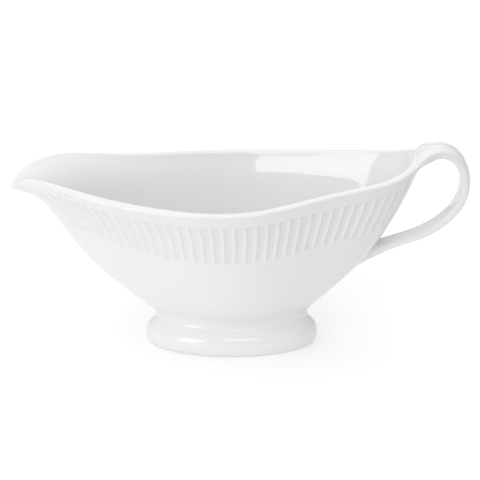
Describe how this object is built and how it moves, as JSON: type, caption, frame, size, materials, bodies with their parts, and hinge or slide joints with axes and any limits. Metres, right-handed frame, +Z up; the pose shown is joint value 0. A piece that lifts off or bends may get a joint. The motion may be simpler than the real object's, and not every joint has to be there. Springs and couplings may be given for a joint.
{
  "type": "gravy boat",
  "caption": "White glazed porcelain gravy boat with an oval bowl, long pouring spout, fluted band under the lip, oval pedestal foot and looped strap handle.",
  "frame": {"origin": "middle of the oval foot, on the table that it stands on", "axes": "+Z up out of the bowl, -X towards the pouring spout, +X towards the handle, XZ the plane that both sides mirror in"},
  "size_m": [0.2372, 0.0968, 0.1106],
  "materials": {
    "glazed_porcelain": "gloss",
    "slip": "gloss"
  },
  "bodies": {
    "root": {"bowl": "glazed_porcelain", "foot": "glazed_porcelain", "handle": "glazed_porcelain", "foot_slip_joint": "slip", "handle_upper_slip_joint": "slip", "handle_lower_slip_joint": "slip"}
  },
  "joints": []
}
